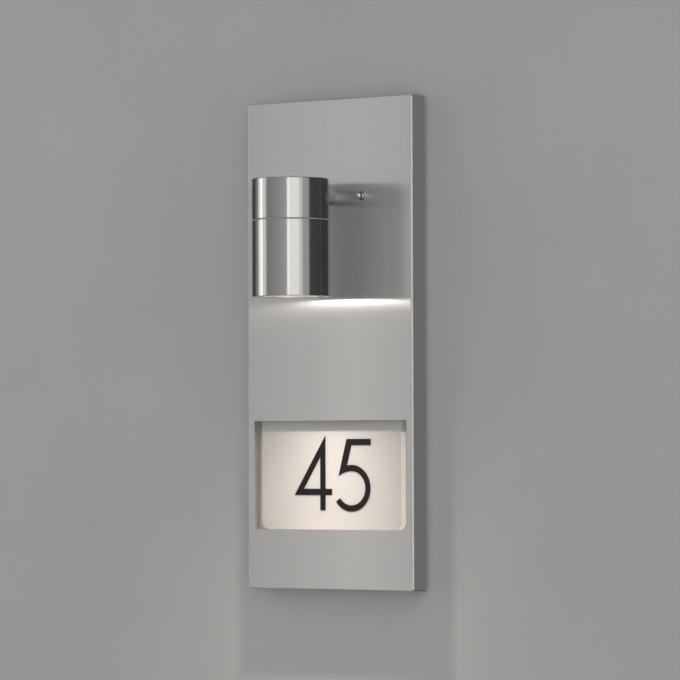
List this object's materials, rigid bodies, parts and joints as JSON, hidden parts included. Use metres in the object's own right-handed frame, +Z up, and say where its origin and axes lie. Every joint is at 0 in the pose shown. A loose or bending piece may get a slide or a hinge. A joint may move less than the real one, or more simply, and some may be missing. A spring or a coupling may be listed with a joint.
{
  "type": "illuminated house number sign",
  "caption": "Wall-mounted house number sign: a folded steel plate with a recessed number panel lit from above by a small cylindrical downlight.",
  "frame": {"origin": "on the wall, at the middle of the wall bracket's two screw slots, level with the arm", "axes": "+Y into the wall, +Z up, +X to the right as the sign is read"},
  "size_m": [0.16, 0.0995, 0.386],
  "materials": {
    "brushed_sheet": "vertically brushed stainless sheet",
    "carrier_steel": "plain mill-finish sheet",
    "zinc_steel": "bright zinc plate",
    "chrome": "polished",
    "panel_white": "opal white sheet with polished edges",
    "digit_black": "matt black",
    "tape_white": "foam adhesive tape",
    "tube_steel": "circumferentially brushed stainless",
    "collar_alu": "turned, satin",
    "silicone": "black silicone rubber",
    "grey_silicone": "light grey silicone rubber",
    "frosted_glass": "satin etched inside",
    "spring_steel": "bright spring steel",
    "ceramic": "unglazed white",
    "brass": "bright",
    "lamp_white": "white moulding",
    "lamp_lens": "frosted lens",
    "nylon": "natural nylon",
    "wire_brown": "silicone insulation",
    "wire_blue": "silicone insulation",
    "wire_green": "green insulation"
  },
  "bodies": {
    "sign_body": {"front_cover": "brushed_sheet", "panel_carrier": "carrier_steel", "carrier_studs": "zinc_steel", "carrier_nuts": "zinc_steel", "panel_tape": "tape_white", "number_panel": "panel_white", "digit_4": "digit_black", "digit_5": "digit_black", "wall_bracket": "zinc_steel", "bracket_studs": "zinc_steel", "stop_nuts": "zinc_steel", "cap_nut_washers": "chrome", "cap_nuts": "chrome", "terminal_block": "nylon", "terminal_sleeves": "brass", "terminal_screws": "zinc_steel", "block_fixing_screw": "zinc_steel", "earth_screw": "zinc_steel", "earth_lug": "brass", "wire_earth": "wire_green", "wire_live": "wire_brown", "wire_neutral": "wire_blue", "arm_tube": "tube_steel", "arm_nipple": "zinc_steel", "arm_lock_washer": "spring_steel", "cover_nut": "zinc_steel", "saddle_washer": "collar_alu", "housing_nut": "zinc_steel", "upper_housing": "tube_steel", "threaded_collar": "collar_alu", "holder_strap": "zinc_steel", "strap_screws": "zinc_steel", "lampholder": "ceramic", "holder_screws": "zinc_steel", "holder_contacts": "brass"},
    "seam_gasket": {"seam_gasket": "grey_silicone"},
    "glass_set": {"front_glass": "frosted_glass", "glass_seal": "silicone", "glass_ring": "spring_steel"},
    "barrel": {"barrel_tube": "tube_steel"},
    "lamp": {"lamp_body": "lamp_white", "lamp_lens": "lamp_lens", "lamp_pins": "zinc_steel"}
  },
  "joints": [
    {"name": "barrel_travel", "type": "slide", "parent": "sign_body", "child": "seam_gasket", "axis": [0, 0, -1], "range_m": [0, 0.008]},
    {"name": "barrel_pull_off", "type": "slide", "parent": "seam_gasket", "child": "glass_set", "axis": [0, 0, -1], "range_m": [0, 0.07]},
    {"name": "barrel_turn", "type": "hinge", "parent": "glass_set", "child": "barrel", "pos_m": [0, -0.0695, 0], "axis": [0, 0, -1], "range_deg": [0, 1440]},
    {"name": "lamp_twist", "type": "hinge", "parent": "sign_body", "child": "lamp", "pos_m": [0, -0.0695, 0], "axis": [0, 0, -1], "range_deg": [0, 25]}
  ],
  "couplings": [
    {"joint": "barrel_travel", "follows": "barrel_turn", "m_per_rad": 0.0003183}
  ]
}
